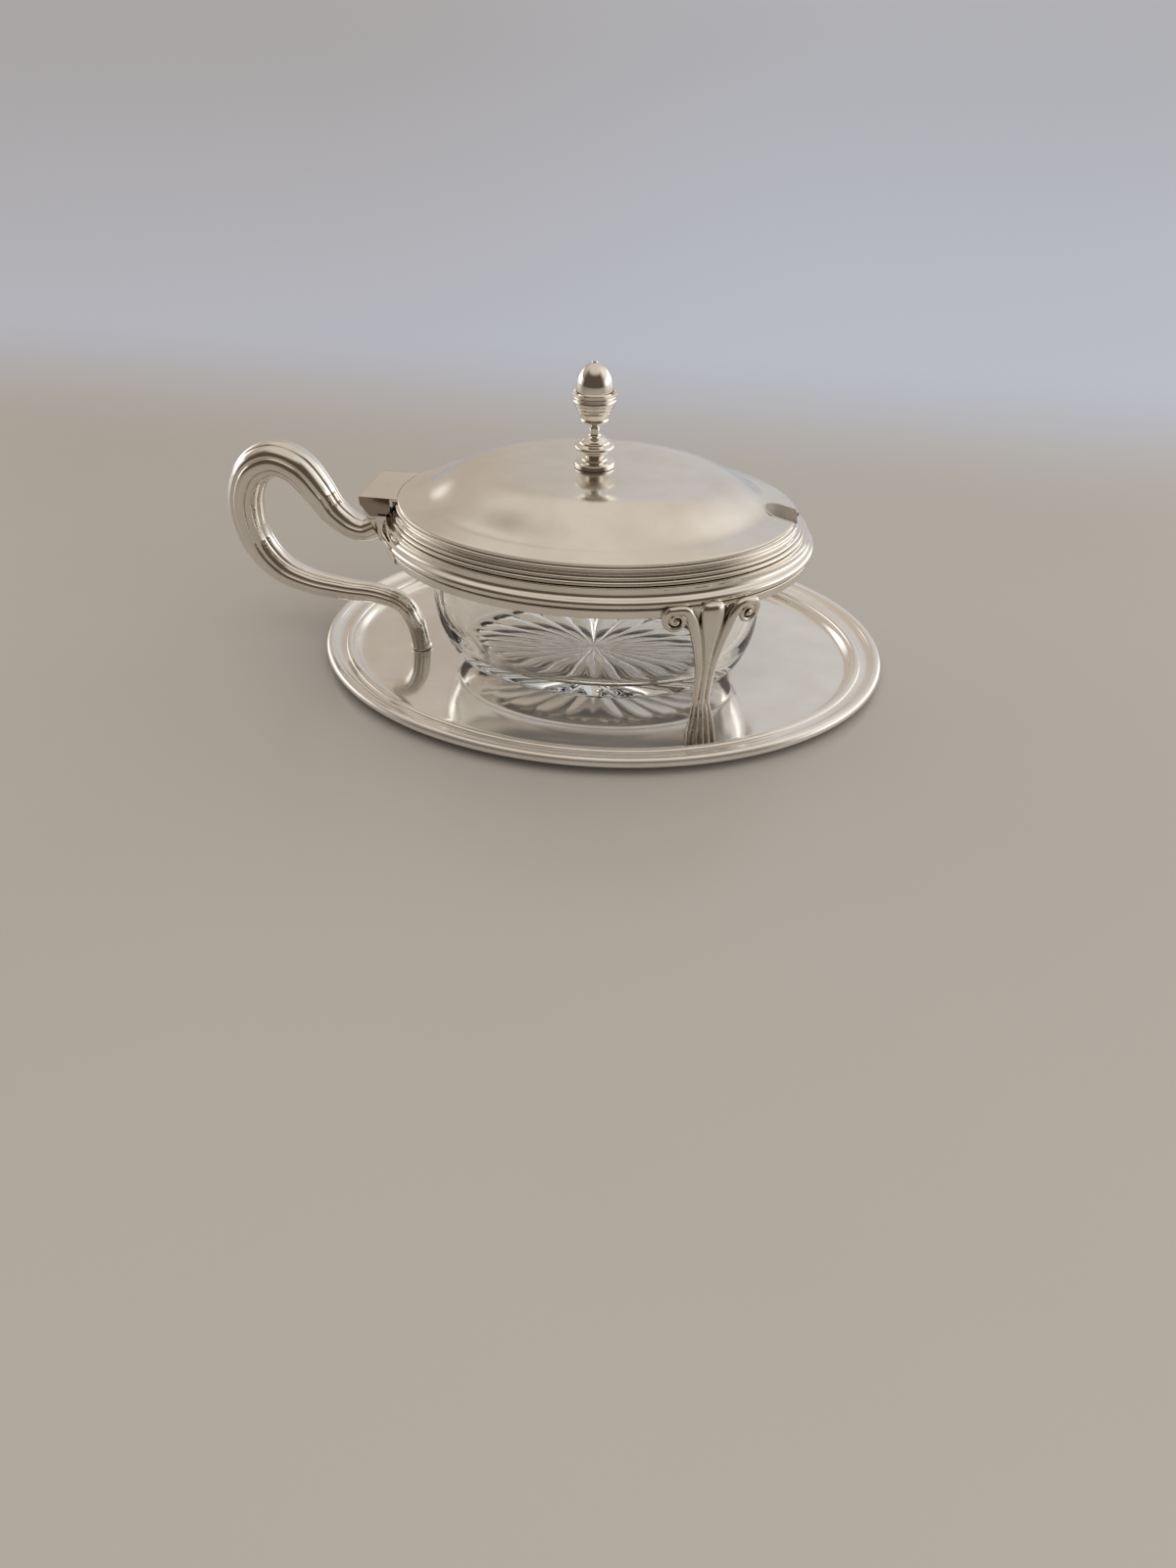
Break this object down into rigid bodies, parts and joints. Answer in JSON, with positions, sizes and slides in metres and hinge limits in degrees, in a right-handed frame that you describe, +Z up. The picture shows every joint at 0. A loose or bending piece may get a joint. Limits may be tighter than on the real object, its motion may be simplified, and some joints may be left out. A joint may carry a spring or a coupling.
{
  "type": "mustard pot with tray",
  "caption": "Oval silver mustard pot with a glass liner, a hinged domed lid with an acorn finial and a spoon notch, a scroll handle and paw feet, standing loose on an oval tray.",
  "frame": {"origin": "middle of the whole part, tray and handle together, at the table under the tray", "axes": "+X from the handle towards the spoon notch, +Y from the front of the pot towards its back, +Z up"},
  "size_m": [0.181, 0.127, 0.0855],
  "materials": {
    "silver": "polished",
    "glass": "clear"
  },
  "bodies": {
    "tray": {"tray_plate": "silver", "tray_border": "silver"},
    "stand": {"frame_band": "silver", "frame_upper_moulding": "silver", "frame_bead": "silver", "leg_front": "silver", "leg_back": "silver", "handle": "silver", "hinge_bracket": "silver", "frame_knuckles": "silver", "hinge_pin": "silver", "glass_liner": "glass"},
    "lid": {"lid_dome": "silver", "lid_border": "silver", "lid_flange": "silver", "thumb_plate": "silver", "lid_knuckle": "silver", "finial_collar": "silver", "finial_cup": "silver", "finial_acorn": "silver", "finial_stud": "silver", "finial_washer": "silver", "finial_nut": "silver"}
  },
  "joints": [
    {"name": "pot_lift", "type": "slide", "parent": "tray", "child": "stand", "axis": [0, 0, 1], "range_m": [0, 0.1]},
    {"name": "lid_hinge", "type": "hinge", "parent": "stand", "child": "lid", "pos_m": [-0.0475, -0.01078, 0.0454], "axis": [0, -1, 0], "range_deg": [0, 100]}
  ]
}
